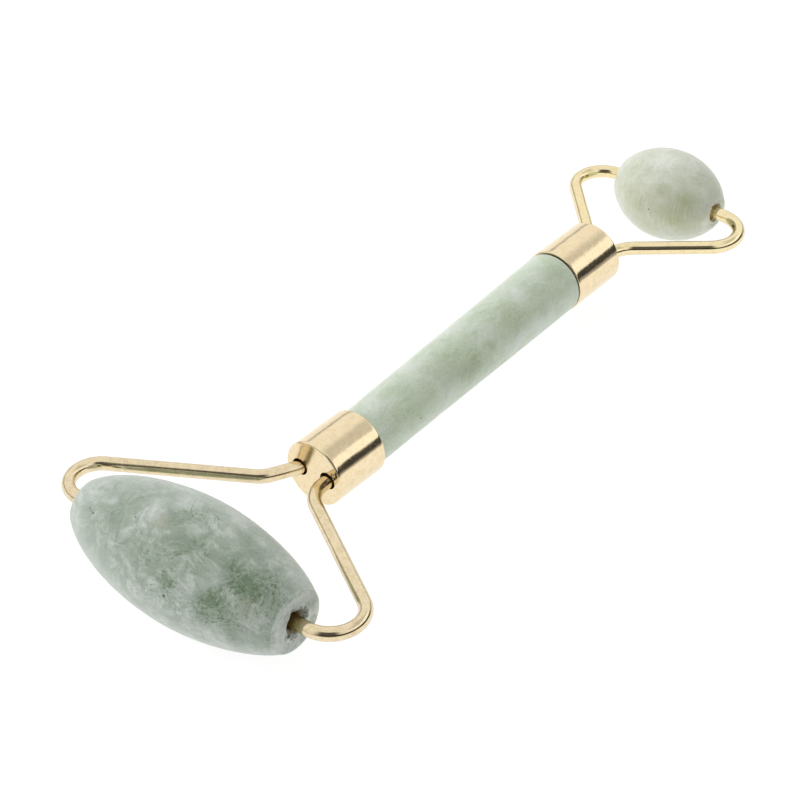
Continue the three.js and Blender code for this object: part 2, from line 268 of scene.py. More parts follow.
# -------------------------------------------------------------------- materials
def jade(name, dark, mid, light, fleck, patches, pale, warm, pits, painted_bore_colour=None, bore_r=2.0,
         stretch=(1, 1, 1), seed=(0, 0, 0), fleck_amount=0.5, feathery=1.0, contrast=1.0, lathe_lines=0.0,
         rim=None, painted_edge_light=0.45, cut_ends=None):
    """Nephrite-like stone: clouds, feathery darker flecks where the patches are,
    paler milky areas, thin pale veins, a few warm stains, open pits, a bore painted with
    shade and the gold wire's reflection, matt ends where it was cut, and painted light at the edges."""
    m, n, b = new_material(name)
    at = n.local_mm()
    base = n.vec("ADD", n.vec("MULTIPLY", at, stretch), seed)
    # slow and quick warps, in millimetres
    w1 = n.vec("SCALE", n.vec("SUBTRACT", n.noise(base, 0.11, 2, 0.5, colour=True), (0.5, 0.5, 0.5)), scale=9.0)
    w2 = n.vec("SCALE", n.vec("SUBTRACT", n.noise(base, 0.50, 3, 0.6, colour=True), (0.5, 0.5, 0.5)), scale=1.7)
    w3 = n.vec("SCALE", n.vec("SUBTRACT", n.noise(base, 1.7, 3, 0.6, colour=True), (0.5, 0.5, 0.5)), scale=0.8)
    q1 = n.vec("ADD", base, w1)
    q2 = n.vec("ADD", q1, w2)
    near = n.vec("ADD", at, n.vec("SCALE", w2, scale=1.7))
    near = n.vec("ADD", near, w3)

    clouds = n.noise(q1, 0.13, 4, 0.55)
    mottle = n.noise(q2, 0.42, 7, 0.66)
    feather = n.noise(q2, 1.45, 8, 0.74)
    tiny = n.noise(base, 4.2, 4, 0.7)

    def spots(rows):
        total = None
        for x, y, z, r, s in rows:
            d = n.vec("DISTANCE", near, (x, y, z))
            f = n.step(d, r * 0.18, r * 1.22, s, 0.0)
            total = f if total is None else n.math("ADD", total, f)
        return total

    tone = n.math("ADD", n.math("MULTIPLY", clouds, 0.22), n.math("MULTIPLY", mottle, 0.78))
    half = 0.115 / contrast
    tone = n.step(tone, 0.5 - half, 0.5 + half, 0.0, 1.0, smooth=False)
    colour = n.ramp(tone, [(0.0, tuple(0.80 * c for c in mid)), (0.42, mid), (1.0, light)])
    if pale:
        lift = n.math("MULTIPLY", spots(pale), n.step(mottle, 0.30, 0.62, 0.45, 1.0), clamp=True)
        colour = n.mix(lift, colour, light)
    # thin pale veins that wander through the clouds
    ridge = n.math("ABSOLUTE", n.math("SUBTRACT", n.noise(q2, 0.33, 6, 0.62), 0.5))
    vein = n.math("MULTIPLY", n.step(ridge, 0.004, 0.030, 1.0, 0.0), n.step(clouds, 0.40, 0.58))
    colour = n.mix(n.math("MULTIPLY", vein, 0.14 * contrast, clamp=True), colour, light)
    # feathery dark flecks everywhere, much thicker inside the patches
    fleck_f = n.step(feather, 0.47, 0.66)
    streak = n.step(mottle, 0.47, 0.62)
    free = n.math("MULTIPLY", n.math("MULTIPLY", fleck_f, n.step(clouds, 0.40, 0.60)), fleck_amount)
    if patches:
        zone = spots(patches)
        body = n.math("MULTIPLY", zone, n.math("ADD", n.math("MULTIPLY", n.step(feather, 0.36, 0.60), 0.60 * feathery),
                                                 n.math("MULTIPLY", streak, 0.34)))
        body = n.math("ADD", body, n.math("MULTIPLY", n.math("MULTIPLY", zone, zone), 0.30 + 0.3 * (1 - feathery)))
        amount = n.math("ADD", free, body, clamp=True)
    else:
        amount = n.math("ADD", free, 0.0, clamp=True)
    colour = n.mix(amount, colour, dark)
    core = n.math("MULTIPLY", n.math("MULTIPLY", amount, amount), n.step(feather, 0.48, 0.66), clamp=True)
    colour = n.mix(core, colour, fleck)
    if warm:
        stain = n.math("MULTIPLY", spots([w[:5] for w in warm]), n.step(mottle, 0.34, 0.62, 0.35, 1.0), clamp=True)
        colour = n.mix(stain, colour, warm[0][5])
    # the fine salt of grain, and the faint rings left by turning
    salt = n.math("ADD", n.math("MULTIPLY", n.math("SUBTRACT", tiny, 0.5), 0.56),
                  n.math("MULTIPLY", n.math("SUBTRACT", n.noise(q2, 2.4, 5, 0.7), 0.5), 0.36 * feathery))
    if lathe_lines:
        rings = n.noise(n.vec("MULTIPLY", at, (3.2, 0.22, 0.22)), 1.0, 3, 0.6)
        where = n.step(n.noise(base, 0.20, 2, 0.5), 0.48, 0.60)
        salt = n.math("ADD", salt, n.math("MULTIPLY", n.math("MULTIPLY", n.math("SUBTRACT", rings, 0.5), where), lathe_lines))
    salt = n.math("ADD", 1.0, salt)
    hsv = n.add("ShaderNodeHueSaturation")
    n.put(hsv.inputs["Color"], colour)
    n.put(hsv.inputs["Value"], salt)
    colour = hsv.outputs["Color"]

    height = n.math("MULTIPLY", tiny, 0.20)
    height = n.math("ADD", height, n.math("MULTIPLY", n.noise(base, 0.9, 3, 0.5), 0.35))
    rough = n.step(feather, 0.35, 0.70, 0.42, 0.52)
    pit_total = None
    for x, y, z, r in pits:
        d = n.vec("DISTANCE", n.vec("ADD", at, n.vec("SCALE", w3, scale=0.22 * min(1.0, r * 2))), (x, y, z))
        f = n.step(d, r * 0.45, r, 1.0, 0.0)
        pit_total = f if pit_total is None else n.math("MAXIMUM", pit_total, f)
    if pit_total is not None:
        colour = n.mix(n.math("MULTIPLY", pit_total, 0.86), colour, (0.035, 0.04, 0.028))
        height = n.math("SUBTRACT", height, n.math("MULTIPLY", pit_total, 2.5))
        rough = n.math("ADD", rough, n.math("MULTIPLY", pit_total, 0.3))
    if painted_bore_colour is not None:
        sep = n.add("ShaderNodeSeparateXYZ")
        n.put(sep.inputs[0], at)
        r2 = n.math("SQRT", n.math("ADD", n.math("MULTIPLY", sep.outputs[1], sep.outputs[1]),
                                   n.math("MULTIPLY", sep.outputs[2], sep.outputs[2])))
        if cut_ends is not None:
            lo, hi, width = cut_ends
            face = n.math("MAXIMUM", n.step(sep.outputs[0], hi - width, hi - width * 0.55),
                          n.step(sep.outputs[0], lo + width * 0.55, lo + width, 1.0, 0.0))
            chalk = n.noise(at, 0.75, 5, 0.7)
            colour = n.mix(n.math("MULTIPLY", face, n.step(chalk, 0.38, 0.62, 0.15, 0.80)), colour, rim)
            # dark flecks on the cut ends near the bore
            dark_flecks = n.math("MULTIPLY", n.step(n.noise(at, 2.6, 4, 0.75), 0.56, 0.66),
                            n.step(r2, bore_r + 0.4, bore_r + 2.2, 1.0, 0.0))
            colour = n.mix(n.math("MULTIPLY", n.math("MULTIPLY", face, dark_flecks), 0.65), colour, (0.07, 0.085, 0.06))
            rough = n.math("ADD", rough, n.math("MULTIPLY", face, 0.12))
            height = n.math("ADD", height, n.math("MULTIPLY", n.math("MULTIPLY", face, chalk), 2.0))
        # painted shade and painted reflection: the bore and its mouth get an olive-brown colour for the shade in the
        # hole and the gold wire seen in it
        ragged = n.math("ADD", r2, n.math("MULTIPLY", n.math("SUBTRACT", n.noise(at, 1.1, 3, 0.6), 0.5), 0.45))
        inside = n.step(ragged, bore_r - 0.22, bore_r + 0.10, 1.0, 0.0)
        colour = n.mix(n.math("MULTIPLY", inside, 0.88), colour, painted_bore_colour)
        # painted shade: a broken dark ring just outside the bore's rim, where the chipped edge falls into shadow
        chips = n.math("MULTIPLY", n.step(ragged, bore_r - 0.25, bore_r + 0.05, 0.0, 1.0),
                       n.step(ragged, bore_r + 0.22, bore_r + 0.60, 1.0, 0.0))
        chips = n.math("MULTIPLY", chips, n.step(n.noise(at, 1.9, 4, 0.7), 0.53, 0.62))
        colour = n.mix(n.math("MULTIPLY", chips, 0.85), colour, (0.03, 0.03, 0.02))
        if pit_total is not None:
            colour = n.mix(n.math("MULTIPLY", pit_total, 0.80), colour, (0.035, 0.038, 0.026))
    # painted light: the base colour is lightened where the surface turns away from the view
    lw = n.add("ShaderNodeLayerWeight")
    lw.inputs["Blend"].default_value = 0.5
    painted_edge_glow = n.step(lw.outputs["Facing"], 0.08, 1.0, 0.0, painted_edge_light)
    colour = n.mix(painted_edge_glow, colour, tuple(min(1.0, c * 1.12) for c in light))
    n.put(b.inputs["Base Color"], colour)
    n.put(b.inputs["Roughness"], rough)
    b.inputs["IOR"].default_value = 1.60
    b.inputs["Specular IOR Level"].default_value = 0.5
    b.inputs["Subsurface Weight"].default_value = 0.18
    b.inputs["Subsurface Radius"].default_value = (1.0, 1.0, 0.85)
    b.inputs["Subsurface Scale"].default_value = 0.9 * MM
    b.inputs["Coat Weight"].default_value = 0.10
    b.inputs["Coat Roughness"].default_value = 0.20
    n.put(b.inputs["Normal"], n.bump(height, 0.35, 0.02 * MM))
    return m


def gold(name, tint, deep, rough, along, pit=0.5, seed=0.0, wire_tip_shade_spots=(), edge=0.0,
         stain=(0.62, 0.36, 0.12)):
    """Pale champagne-gold plate on brass: grain drawn along one axis, open pits,
    painted shade at the given spots and where round wire turns away, and a little darker tarnish in the low spots."""
    m, n, b = new_material(name)
    at = n.local_mm()
    at = n.vec("ADD", at, (seed, seed * 0.6, -seed))
    drawn = n.vec("MULTIPLY", at, along)
    lines = n.noise(drawn, 2.6, 5, 0.65)
    slow = n.noise(at, 0.35, 3, 0.5)
    grain = n.noise(at, 3.8, 4, 0.65)
    wear = n.noise(at, 0.9, 6, 0.7)
    pits = n.cells(at, 1.15)
    pits = n.step(pits, 0.05, 0.16, 1.0, 0.0)
    pits = n.math("MULTIPLY", pits, n.step(n.noise(at, 0.8, 2, 0.5), 0.50, 0.60))
    pits = n.math("MULTIPLY", pits, pit)

    tone = n.math("ADD", n.math("MULTIPLY", wear, 0.6), n.math("MULTIPLY", grain, 0.4))
    colour = n.ramp(tone, [(0.36, deep), (0.52, tint), (0.70, tuple(min(1.0, c * 1.05 + 0.02) for c in tint))])
    colour = n.mix(n.math("MULTIPLY", pits, 0.7), colour, tuple(c * 0.35 for c in deep))
    # painted shade: the colour goes dark brown at the given spots, where the wire's tips sit in the rollers' bores
    for x, y, z, r, s in wire_tip_shade_spots:
        d = n.vec("DISTANCE", n.local_mm(), (x, y, z))
        f = n.math("MULTIPLY", n.step(d, r * 0.55, r, s, 0.0), n.step(wear, 0.30, 0.50, 0.55, 1.0))
        colour = n.mix(f, colour, stain)
    if edge:
        # painted shade: the round wire's colour goes browner where it turns away from the view
        lw = n.add("ShaderNodeLayerWeight")
        lw.inputs["Blend"].default_value = 0.5
        turn = n.step(lw.outputs["Facing"], 0.62, 0.86, 0.0, edge)
        turn = n.math("MULTIPLY", turn, n.step(wear, 0.30, 0.60, 0.65, 1.0))
        colour = n.mix(turn, colour, tuple(c * k for c, k in zip(deep, (0.42, 0.34, 0.22))))
    n.put(b.inputs["Base Color"], colour)
    b.inputs["Metallic"].default_value = 1.0
    r = n.math("ADD", rough, n.math("MULTIPLY", n.math("SUBTRACT", wear, 0.5), 0.16))
    r = n.math("ADD", r, n.math("MULTIPLY", pits, 0.3), clamp=True)
    n.put(b.inputs["Roughness"], r)
    h = n.math("ADD", n.math("MULTIPLY", lines, 0.35), n.math("MULTIPLY", grain, 0.45))
    h = n.math("SUBTRACT", h, n.math("MULTIPLY", pits, 1.2))
    fine = n.bump(h, 0.30, 0.012 * MM)
    n.put(b.inputs["Normal"], n.bump(slow, 0.30, 0.10 * MM, normal=fine))
    return m


def glue(name):
    m, n, b = new_material(name)
    at = n.local_mm()
    bubbles = n.step(n.cells(at, 1.6), 0.10, 0.22, 1.0, 0.0)
    cloud = n.noise(at, 0.5, 4, 0.6)
    colour = n.ramp(cloud, [(0.35, (0.065, 0.045, 0.02)), (0.65, (0.13, 0.095, 0.045))])
    colour = n.mix(n.math("MULTIPLY", bubbles, 0.5), colour, (0.22, 0.17, 0.09))
    n.put(b.inputs["Base Color"], colour)
    n.put(b.inputs["Roughness"], n.step(cloud, 0.3, 0.7, 0.25, 0.45))
    b.inputs["Subsurface Weight"].default_value = 0.15
    b.inputs["Subsurface Scale"].default_value = 0.8 * MM
    n.put(b.inputs["Normal"], n.bump(n.math("ADD", cloud, n.math("MULTIPLY", bubbles, -0.5)), 0.4, 0.08 * MM))
    return m


# Patches are [x, y, z, radius, strength] in each piece's own millimetres.
BIG_DARK = [
    (11.1, -2.2, 8.6, 2.3, 0.55), (13.0, -3.9, 7.4, 2.7, 0.95), (15.5, -4.2, 6.3, 2.5, 0.95),
    (16.2, -2.4, 6.9, 3.0, 0.70), (17.6, 0.2, 6.6, 2.6, 0.45), (19.2, -2.4, 5.5, 2.0, 0.55),
    (3.5, -9.0, 4.5, 2.1, 0.95), (10.5, -8.5, 3.0, 3.4, 0.75), (11.7, -7.3, 4.8, 2.1, 0.85),
    (14.7, -7.6, 2.1, 2.6, 0.75), (15.2, -7.6, -1.2, 2.6, 0.65), (2.9, -5.3, 8.6, 2.6, 0.60),
    (5.4, -3.6, 9.2, 2.5, 0.60), (-0.5, -1.7, 10.0, 2.8, 0.70), (-9.6, -4.3, 8.1, 3.2, 0.50),
    (-12.0, -5.4, 6.7, 2.8, 0.40), (1.3, 0.8, 10.1, 2.2, 0.50), (3.4, 2.8, 9.7, 2.4, 0.50),
    (9.5, 3.0, 8.7, 2.4, 0.55), (11.2, 1.6, 8.7, 2.0, 0.50), (-9.0, -1.0, 9.3, 3.0, 0.42),
    (8.0, -4.4, 8.4, 1.6, 0.55), (-1.1, -8.2, 6.0, 2.6, 0.32), (-3.5, -6.9, 7.3, 2.2, 0.30),
    (-14.5, 0.6, 7.5, 3.5, 0.40), (0.5, 4.0, -9.3, 4.5, 0.70), (-10.0, 6.5, -5.0, 4.0, 0.55),
    (9.0, 6.0, -6.5, 4.2, 0.65), (-5.0, -5.5, -8.0, 3.5, 0.45), (-2.0, 9.5, 2.0, 3.2, 0.50),
]
BIG_PALE = [
    (-1.9, 2.0, 9.9, 3.0, 0.75), (10.2, -5.7, 7.1, 1.8, 0.55), (17.3, -6.0, 2.5, 3.0, 0.70),
    (-4.8, -1.8, 9.8, 2.6, 0.70), (-3.5, -3.0, 9.3, 2.2, 0.5), (19.0, 3.1, 5.0, 3.5, 0.80),
    (4.6, 5.2, 8.5, 3.2, 0.70), (6.9, -8.7, 4.2, 2.0, 0.45), (8.2, 0.5, 9.3, 2.0, 0.6),
    (-14.0, 4.0, 6.0, 3.4, 0.45), (5.0, -6.0, -7.5, 4.0, 0.6), (-12.0, -2.0, -8.0, 4.0, 0.6),
]
BIG_WARM = [(-2.1, -3.4, 9.6, 1.7, 0.45, (0.30, 0.29, 0.19)), (16.6, -5.6, 4.4, 2.4, 0.30)]
BIG_PITS = [(-16.15, -4.84, 5.53, 0.24), (-15.6, -5.2, 5.55, 0.20), (-14.92, -5.42, 5.6, 0.26),
            (-15.3, -4.6, 6.0, 0.16), (3.55, -9.72, 2.47, 0.34), (-6.6, -4.4, 8.6, 0.16),
            (19.8, -0.6, 5.9, 0.14), (8.6, 4.6, -8.3, 0.25), (-11.0, 7.9, 1.0, 0.22),
            (20.6, 1.95, 1.30, 0.60), (20.6, 2.35, 0.45, 0.62), (20.6, 2.45, -0.45, 0.50), (20.6, 1.15, 2.05, 0.34),
            (20.6, -1.65, -1.65, 0.50), (20.6, -1.10, -2.35, 0.58), (20.6, -0.30, -2.65, 0.50), (20.6, -2.3, -0.9, 0.30),
            (20.6, 2.9, 1.5, 0.22), (20.6, -1.9, -2.9, 0.24), (20.6, -0.7, -3.2, 0.20)]
SMALL_DARK = [
    (2.8, -5.9, 5.1, 1.6, 0.55), (1.6, -6.6, 4.6, 1.5, 0.40), (9.2, 0.2, 4.0, 1.5, 0.45),
    (-5.8, -4.5, 5.0, 2.2, 0.22), (6.9, -2.0, 5.7, 1.6, 0.28), (-3.8, -1.4, 7.4, 1.0, 0.25),
    (0.0, 6.0, -5.0, 3.0, 0.45), (-5.0, 5.0, 3.0, 2.4, 0.35),
]
SMALL_PALE = [(-0.1, -1.7, 8.0, 3.6, 0.85), (3.5, 1.5, 7.2, 2.6, 0.5), (-1.3, -6.1, 5.3, 2.0, 0.30),
              (-6.0, 2.0, -5.0, 3.0, 0.5)]
SMALL_WARM = [
    (7.4, -4.4, 3.6, 2.4, 0.60, (0.43, 0.485, 0.285)), (6.2, -5.3, 3.9, 2.2, 0.50), (7.5, -5.6, -0.9, 3.2, 0.60),
    (6.0, -6.6, 0.2, 2.2, 0.55), (4.1, -7.4, 1.1, 3.0, 0.42), (-1.7, -7.9, 1.4, 3.4, 0.40),
    (0.0, -7.0, -4.0, 4.0, 0.45), (-7.5, -3.0, 1.0, 2.5, 0.30), (2.0, 7.0, 3.0, 3.0, 0.5),
]
SMALL_PITS = [(0.95, -7.98, 1.36, 0.17), (-3.83, -1.4, 7.42, 0.10), (3.0, 7.4, -1.5, 0.2)]
ROD_DARK = [
    (4.8, 22.0, 1.9, 3.6, 0.55), (5.0, 26.1, 1.4, 3.2, 0.55), (2.5, 25.2, 4.6, 3.4, 0.45),
    (1.4, 21.1, 4.9, 3.0, 0.35), (3.5, 37.8, 4.1, 3.4, 0.50), (4.4, 9.2, 2.4, 3.0, 0.50),
    (3.4, 5.3, 3.6, 3.0, 0.45), (3.1, 45.8, 4.5, 2.0, 0.35), (1.3, 52.0, 5.4, 2.2, 0.40),
    (4.1, 13.8, 3.0, 2.6, 0.50), (3.4, 32.8, 4.1, 2.6, 0.35), (-4.5, 15.0, -2.0, 4.5, 0.5),
    (-3.0, 38.0, -4.2, 5.0, 0.5), (2.0, 8.0, -4.6, 4.0, 0.45), (-4.9, 30.0, 1.5, 4.0, 0.35),
]
ROD_PALE = [
    (1.4, 41.3, 5.2, 2.6, 0.70), (4.3, 16.2, 2.8, 2.0, 0.60), (2.3, 30.9, 4.7, 2.6, 0.55),
    (1.5, 47.0, 5.2, 2.8, 0.60), (-0.7, 14.8, 5.0, 4.0, 0.55), (0.4, 4.1, 4.9, 3.0, 0.70),
    (4.9, 19.0, 1.0, 1.8, 0.45), (-3.0, 27.0, 4.3, 4.0, 0.50), (5.2, 44.0, -1.0, 4.0, 0.5),
]
ROD_WARM = [(4.8, 24.0, 1.6, 3.0, 0.45, (0.28, 0.32, 0.185)), (3.3, 20.0, 3.8, 4.0, 0.30), (3.6, 36.5, 3.9, 3.0, 0.30)]
ROD_PITS = [(4.95, 9.99, 0.67, 0.24), (-4.2, 33.0, -2.6, 0.2)]

JADE_BIG = jade("jade_mottled", (0.155, 0.228, 0.136), (0.300, 0.362, 0.290), (0.525, 0.570, 0.530), (0.082, 0.130, 0.064),
                BIG_DARK, BIG_PALE, BIG_WARM, BIG_PITS, painted_bore_colour=(0.21, 0.155, 0.06), bore_r=2.05,
                stretch=(0.85, 1.0, 1.0), seed=(3.0, 7.0, 1.0), fleck_amount=0.60, contrast=0.88,
                lathe_lines=0.75, rim=(0.60, 0.65, 0.60), painted_edge_light=0.56, cut_ends=(-21.96, 20.65, 0.42))
JADE_SMALL = jade("jade_pale", (0.425, 0.470, 0.315), (0.568, 0.604, 0.476), (0.715, 0.752, 0.682), (0.31, 0.355, 0.21),
                  SMALL_DARK, SMALL_PALE, SMALL_WARM, SMALL_PITS, painted_bore_colour=(0.62, 0.44, 0.13), bore_r=1.68,
                  stretch=(0.9, 1.0, 1.0), seed=(41.0, -3.0, 12.0), fleck_amount=0.12, feathery=0.5, contrast=0.46,
                  lathe_lines=0.55, rim=(0.64, 0.67, 0.55), painted_edge_light=0.36, cut_ends=(-9.43, 10.01, 0.12))
JADE_ROD = jade("jade_fibrous", (0.400, 0.498, 0.298), (0.508, 0.594, 0.440), (0.645, 0.700, 0.645), (0.300, 0.380, 0.205),
                ROD_DARK, ROD_PALE, ROD_WARM, ROD_PITS, stretch=(1.0, 0.62, 1.0), seed=(-9.0, 15.0, 4.0),
                fleck_amount=0.24, feathery=0.85, contrast=0.58, lathe_lines=0.0, painted_edge_light=0.38)
GOLD_CAP = gold("gold_cap", (0.865, 0.720, 0.475), (0.78, 0.625, 0.385), 0.13, (1.0, 0.35, 1.0), pit=0.8, seed=2.0)
# the spots at this wire's tips and their dark stain colour are painted shade inside the rollers' bores
GOLD_WIRE_LARGE = gold("gold_wire_large", (0.800, 0.672, 0.448), (0.640, 0.515, 0.325), 0.10, (1.0, 1.0, 1.0), pit=0.6, seed=17.0,
                       edge=0.55, stain=(0.36, 0.27, 0.105),
                       wire_tip_shade_spots=[(-20.4, 27.3, 0.0, 2.75, 0.90), (-18.0, 27.3, 0.0, 2.6, 0.9), (21.8, 27.3, 0.0, 2.4, 0.7)])
GOLD_WIRE_SMALL = gold("gold_wire_small", (0.880, 0.755, 0.465), (0.770, 0.635, 0.360), 0.08, (1.0, 1.0, 1.0), pit=0.45, seed=29.0,
                       edge=0.42)
GLUE = glue("cured_epoxy")


def painted_hole_shade_material(name):
    """Painted shade for the walls of the drilled holes: near black and dull, so the gap round the wire reads as shadow.
    """
    m, n, b = new_material(name)
    at = n.local_mm()
    hole_shade_noise = n.noise(at, 2.2, 5, 0.7)
    n.put(b.inputs["Base Color"], n.ramp(hole_shade_noise, [(0.36, (0.045, 0.027, 0.011)), (0.66, (0.22, 0.130, 0.050))]))
    n.put(b.inputs["Roughness"], n.step(hole_shade_noise, 0.3, 0.7, 0.45, 0.75))
    b.inputs["Metallic"].default_value = 0.0
    b.inputs["Specular IOR Level"].default_value = 0.15
    n.put(b.inputs["Normal"], n.bump(hole_shade_noise, 0.6, 0.05 * MM))
    return m


HOLE_SHADE = painted_hole_shade_material("painted_hole_shade")


# ------------------------------------------------------------------------ rod
def rod():
    k = (ROD_R_SMALL - ROD_R_LARGE) / ROD_LENGTH
    prof = [(0, -TENON_LENGTH), (TENON_LARGE - 0.3, -TENON_LENGTH), (TENON_LARGE, -TENON_LENGTH + 0.3),
            (TENON_LARGE, -LEAD_IN - 0.5), (ROD_R_LARGE - 0.05, -LEAD_IN), (ROD_R_LARGE - 0.01, -0.5)]
    n = 150
    y0, y1 = 0.0, ROD_LENGTH - 0.62
    for i in range(n + 1):
        y = y0 + (y1 - y0) * i / n
        prof.append((ROD_R_LARGE + k * y, y))
    r = ROD_R_LARGE + k * y1
    prof += [(r - 0.03, ROD_LENGTH - 0.50), (r - 0.08, ROD_LENGTH - 0.36), (r - 0.17, ROD_LENGTH - 0.24),
             (r - 0.30, ROD_LENGTH - 0.15), (TENON_SMALL, ROD_LENGTH - 0.15),
             (TENON_SMALL, ROD_LENGTH + TENON_LENGTH - 0.3), (TENON_SMALL - 0.3, ROD_LENGTH + TENON_LENGTH),
             (0, ROD_LENGTH + TENON_LENGTH)]

    def ground(r, y, a):
        if not 0.2 < y < ROD_LENGTH - 0.7:
            return 0.0, 0.0
        fade = min(1.0, (y - 0.2) / 2.0, (ROD_LENGTH - 0.7 - y) / 2.0)
        v = wob(math.cos(a) * 5, y, math.sin(a) * 5, 0.11, 3.1) * 0.045
        v += wob(math.cos(a) * 5, y * 0.5, math.sin(a) * 5, 0.5, 8.4) * 0.012
        return v * fade, 0.0

    v, f, _ = lathe(prof, 128, shift=ground)
    return make_piece("jade_handle_rod", v, f, AT_ROD, JADE_ROD)


# ----------------------------------------------------------------------- caps
def disc(outer, holes, y, grid, verts, index, bulge=None):
    """Triangles of a flat disc with round holes, using vertices that exist."""
    pts, key = [], {}

    def put(i):
        p = (verts[i][0], verts[i][2])
        key[(round(p[0], 4), round(p[1], 4))] = i
        pts.append(Vector(p))
        return len(pts) - 1

    loops = [[put(i) for i in outer]] + [[put(i) for i in h] for h in holes]
    edges = [(lp[i], lp[(i + 1) % len(lp)]) for lp in loops for i in range(len(lp))]
    for x, z in grid:
        pts.append(Vector((x, z)))
    res = delaunay_2d_cdt(pts, edges, [], 1, 1e-5)
    rounds = []
    for h in holes:
        cx = sum(verts[i][0] for i in h) / len(h)
        cz = sum(verts[i][2] for i in h) / len(h)
        rounds.append((cx, cz, min(math.hypot(verts[i][0] - cx, verts[i][2] - cz) for i in h)))
    coords, faces = res[0], res[2]
    ids = []
    for c in coords:
        kk = (round(c[0], 4), round(c[1], 4))
        if kk not in key:
            key[kk] = len(verts)
            dy = bulge(c[0], c[1]) if bulge else 0.0
            verts.append((c[0], y + dy, c[1]))
        ids.append(key[kk])
    out = []
    for f in faces:
        mx, mz = sum(coords[i][0] for i in f) / len(f), sum(coords[i][1] for i in f) / len(f)
        if all(math.hypot(mx - cx, mz - cz) > cr * 0.995 for cx, cz, cr in rounds):
            out.append(tuple(ids[i] for i in f))
    return out


def cap(name, length, place, seed, marks=(), hole_shift=(0.0, 0.0)):
    r, ri, open_y, sides = CAP_R, CAP_R - CAP_WALL, -length, 144
    wall = [(r, -CAP_EDGE - (length - CAP_EDGE - CAP_LIP) * i / 40) for i in range(1, 40)]
    prof = arc((r - CAP_EDGE, -CAP_EDGE), CAP_EDGE, 90, 0, 8) + wall
    prof += arc((r - CAP_LIP, open_y + CAP_LIP), CAP_LIP, 0, -90, 4)
    prof += arc((ri + CAP_LIP, open_y + CAP_LIP), CAP_LIP, -90, -180, 4)
    prof += [(ri, open_y + 1.0), (ri, -length * 0.5), (ri, -CAP_FACE - 0.9)]
    prof += arc((ri - 0.3, -CAP_FACE - 0.3), 0.3, 0, 90, 4)

    def pressed(rr, y, a):
        if rr < r - 0.005 or not open_y + 0.3 < y < -0.5:
            return 0.0, 0.0
        fade = min(1.0, (-0.5 - y) / 0.8, (y - open_y - 0.3) / 0.8)
        v = wob(math.cos(a) * r, y, math.sin(a) * r, 0.16, seed) * 0.018
        v += wob(math.cos(a) * r, y, math.sin(a) * r, 0.75, seed + 4) * 0.0045
        return v * fade, 0.0

    verts, faces, rings = lathe(prof, sides, shift=pressed)
    faces = [tuple(reversed(f)) for f in faces]
    hole_rings = []
    hole_shade_faces = {}
    for hx in (-LEG_X, LEG_X):
        sx, sz = hole_shift
        steps = [(HOLE_R + 0.05, 0.0), (HOLE_R + 0.015, -0.012), (HOLE_R, -0.05), (HOLE_R, -0.30), (HOLE_R, -CAP_FACE)]
        rr = []
        for hr, y in steps:
            ring = []
            for i in range(48):
                a = TAU * i / 48
                ring.append(len(verts))
                burr = 0.012 * wob(math.cos(a), hx, math.sin(a), 1.7, seed)
                verts.append((hx + sx + (hr + burr) * math.cos(a), y, sz + (hr + burr) * math.sin(a)))
            rr.append(ring)
        for row, (a_, b_) in enumerate(zip(rr, rr[1:])):
            for i in range(48):
                j = (i + 1) % 48
                if row >= 0:
                    hole_shade_faces[frozenset((a_[i], b_[i], b_[j], a_[j]))] = True
                faces.append((a_[i], b_[i], b_[j], a_[j]))
        hole_rings.append(rr)

    def grid(limit):
        out = []
        for k in range(1, 14):
            q = limit * k / 14.0
            m = max(6, int(TAU * q / (limit / 14.0)))
            for i in range(m):
                a = TAU * (i + 0.5 * (k % 2)) / m
                x, z = q * math.cos(a), q * math.sin(a)
                if min(math.hypot(x - LEG_X - hole_shift[0], z - hole_shift[1]), math.hypot(x + LEG_X - hole_shift[0], z - hole_shift[1])) > HOLE_R + 0.30:
                    out.append((x, z))
        return out

    def dish(x, z):
        q = math.hypot(x, z) / (r - CAP_EDGE)
        d = -0.05 * (1 - q * q) + 0.020 * wob(x, 0, z, 0.45, seed + 9) * (1 - q ** 4)
        for mx, mz, mr, md in marks:
            g = math.hypot(x - mx, z - mz)
            d -= md * math.exp(-(g / mr) ** 2)
        return d

    extra = [(mx + mr * k * math.cos(TAU * i / 10), mz + mr * k * math.sin(TAU * i / 10))
             for mx, mz, mr, md in marks for k in (0.35, 0.8, 1.3, 1.8) for i in range(10)]
    faces += disc(rings[0], [h[0] for h in hole_rings], 0.0, grid(r - CAP_EDGE) + extra, verts, None, dish)
    faces += disc(rings[-1], [h[-1] for h in hole_rings], -CAP_FACE, grid(ri - 0.3), verts, None)
    obj = make_piece(name, verts, faces, place, GOLD_CAP)
    # the hole walls get the painted shade as a second material
    obj.data.materials.append(HOLE_SHADE)
    for poly in obj.data.polygons:
        if frozenset(poly.vertices) in hole_shade_faces:
            poly.material_index = 1
    fix_normals(obj)
    return obj


